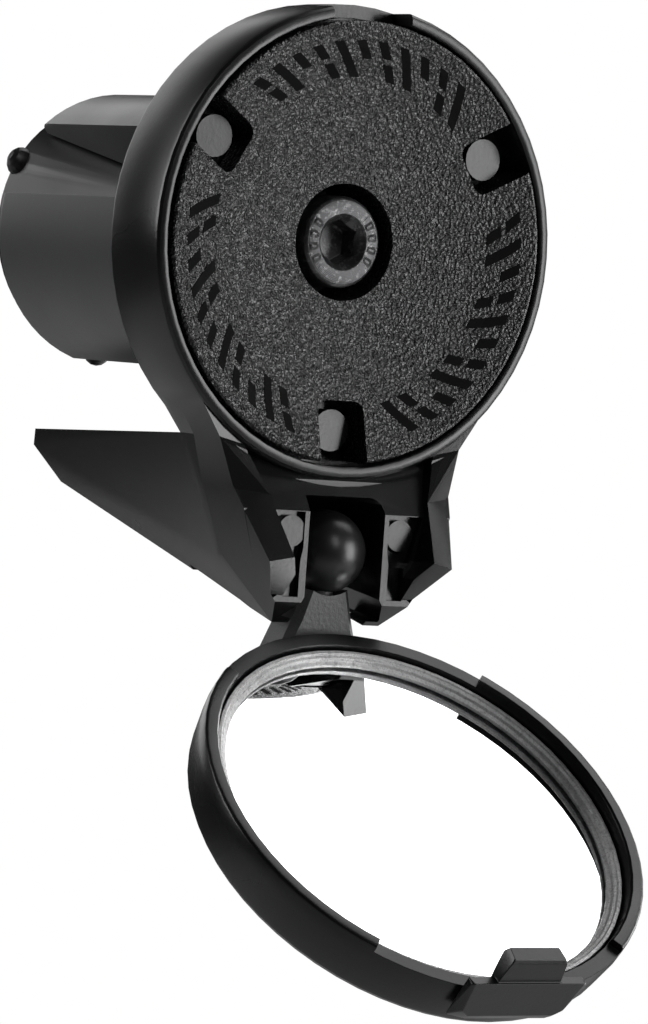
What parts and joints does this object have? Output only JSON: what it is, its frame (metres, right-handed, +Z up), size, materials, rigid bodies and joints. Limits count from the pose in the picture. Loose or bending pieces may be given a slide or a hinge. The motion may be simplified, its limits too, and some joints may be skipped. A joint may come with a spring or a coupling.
{
  "type": "bar-end bicycle mirror",
  "caption": "Round folding rear-view mirror on a ball joint, carried by an end-cap bracket with an expanding plug that clamps inside the end of a handlebar.",
  "frame": {"origin": "centre of the end-cap ring's front plane, on the axis of the expanding plug", "axes": "+Y along the plug into the handlebar, +Z up, the ball joint and fin hang below the ring at -Z"},
  "size_m": [0.036, 0.0699, 0.0741],
  "materials": {
    "black_plastic": "satin moulded, lightly rounded edges",
    "grained_plastic": "coarse leather-like grain",
    "plug_plastic": "fine satin, dark grey",
    "smooth_plastic": "smooth satin",
    "trim_plastic": "fine-grained grey",
    "black_steel": "black oxide",
    "soft_rubber": "matt",
    "silvered_glass": "slightly convex mirror"
  },
  "bodies": {
    "end_cap": {"end_cap_housing": "black_plastic", "face_disc": "grained_plastic", "flat_washer": "black_steel", "spring_washer": "black_steel", "bar_end_gasket": "soft_rubber"},
    "screw": {"clamp_screw": "black_steel"},
    "wedge": {"wedge_nut": "black_plastic", "hex_nut": "black_steel"},
    "finger_1": {"expander_finger_1": "plug_plastic"},
    "finger_2": {"expander_finger_2": "plug_plastic"},
    "finger_3": {"expander_finger_3": "plug_plastic"},
    "ball": {"joint_ball": "smooth_plastic"},
    "mirror_head": {"mirror_arm": "plug_plastic", "mirror_shell": "black_plastic", "mirror_bezel": "trim_plastic", "glass_gasket": "soft_rubber", "mirror_glass": "silvered_glass", "glass_pad": "soft_rubber", "latch_hook": "black_plastic", "arm_screw": "black_steel"}
  },
  "joints": [
    {"name": "wedge_draw", "type": "slide", "parent": "end_cap", "child": "wedge", "axis": [0, -1, 0], "range_m": [-0.0014, 0.0014]},
    {"name": "screw_turn", "type": "hinge", "parent": "end_cap", "child": "screw", "pos_m": [0, 0, 0], "axis": [0, 1, 0], "range_deg": [-760, 760]},
    {"name": "finger_1_spread", "type": "hinge", "parent": "end_cap", "child": "finger_1", "pos_m": [0, 0.0075, 0.0099], "axis": [1, 0, 0], "range_deg": [-1.3, 1.3]},
    {"name": "finger_2_spread", "type": "hinge", "parent": "end_cap", "child": "finger_2", "pos_m": [-0.00857, 0.0075, -0.00495], "axis": [-0.5, 0, 0.866], "range_deg": [-1.3, 1.3]},
    {"name": "finger_3_spread", "type": "hinge", "parent": "end_cap", "child": "finger_3", "pos_m": [0.00857, 0.0075, -0.00495], "axis": [-0.5, 0, -0.866], "range_deg": [-1.3, 1.3]},
    {"name": "mirror_fold", "type": "hinge", "parent": "end_cap", "child": "ball", "pos_m": [0, 0.0017, -0.0235], "axis": [1, 0, 0], "range_deg": [-126.4, 8]},
    {"name": "mirror_twist", "type": "hinge", "parent": "ball", "child": "mirror_head", "pos_m": [0, 0.0017, -0.0235], "axis": [0, 0.1461, -0.9893], "range_deg": [-14, 14]}
  ],
  "couplings": [
    {"joint": "screw_turn", "follows": "wedge_draw", "rad_per_m": 8976},
    {"joint": "finger_1_spread", "follows": "wedge_draw", "rad_per_m": 14.375},
    {"joint": "finger_2_spread", "follows": "wedge_draw", "rad_per_m": 14.375},
    {"joint": "finger_3_spread", "follows": "wedge_draw", "rad_per_m": 14.375}
  ]
}
